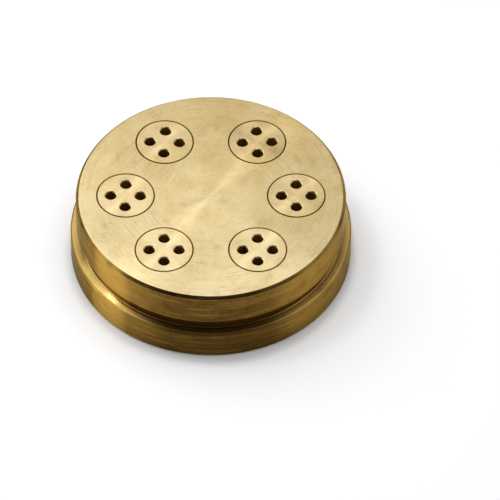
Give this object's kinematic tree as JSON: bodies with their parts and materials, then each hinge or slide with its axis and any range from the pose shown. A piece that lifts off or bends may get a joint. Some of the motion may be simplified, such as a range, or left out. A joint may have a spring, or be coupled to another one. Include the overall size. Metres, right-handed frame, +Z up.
{
  "type": "pasta extrusion die",
  "caption": "Round turned brass pasta die: a flanged disc with a relief groove, carrying drop-in inserts whose small round holes shape strands of dough.",
  "frame": {"origin": "centre of the back rim, in the plane that the die rests on", "axes": "+Z up along the die's axis, out of the front face where the pasta leaves; +X to the right, through insert_1; +Y to the back of the picture"},
  "size_m": [0.057, 0.057, 0.0165],
  "materials": {
    "body_brass": "fine turned, satin",
    "insert_brass": "fine turned, satin"
  },
  "bodies": {
    "root": {"die_body": "body_brass", "insert_1": "insert_brass", "insert_2": "insert_brass", "insert_3": "insert_brass", "insert_4": "insert_brass", "insert_5": "insert_brass", "insert_6": "insert_brass"}
  },
  "joints": []
}
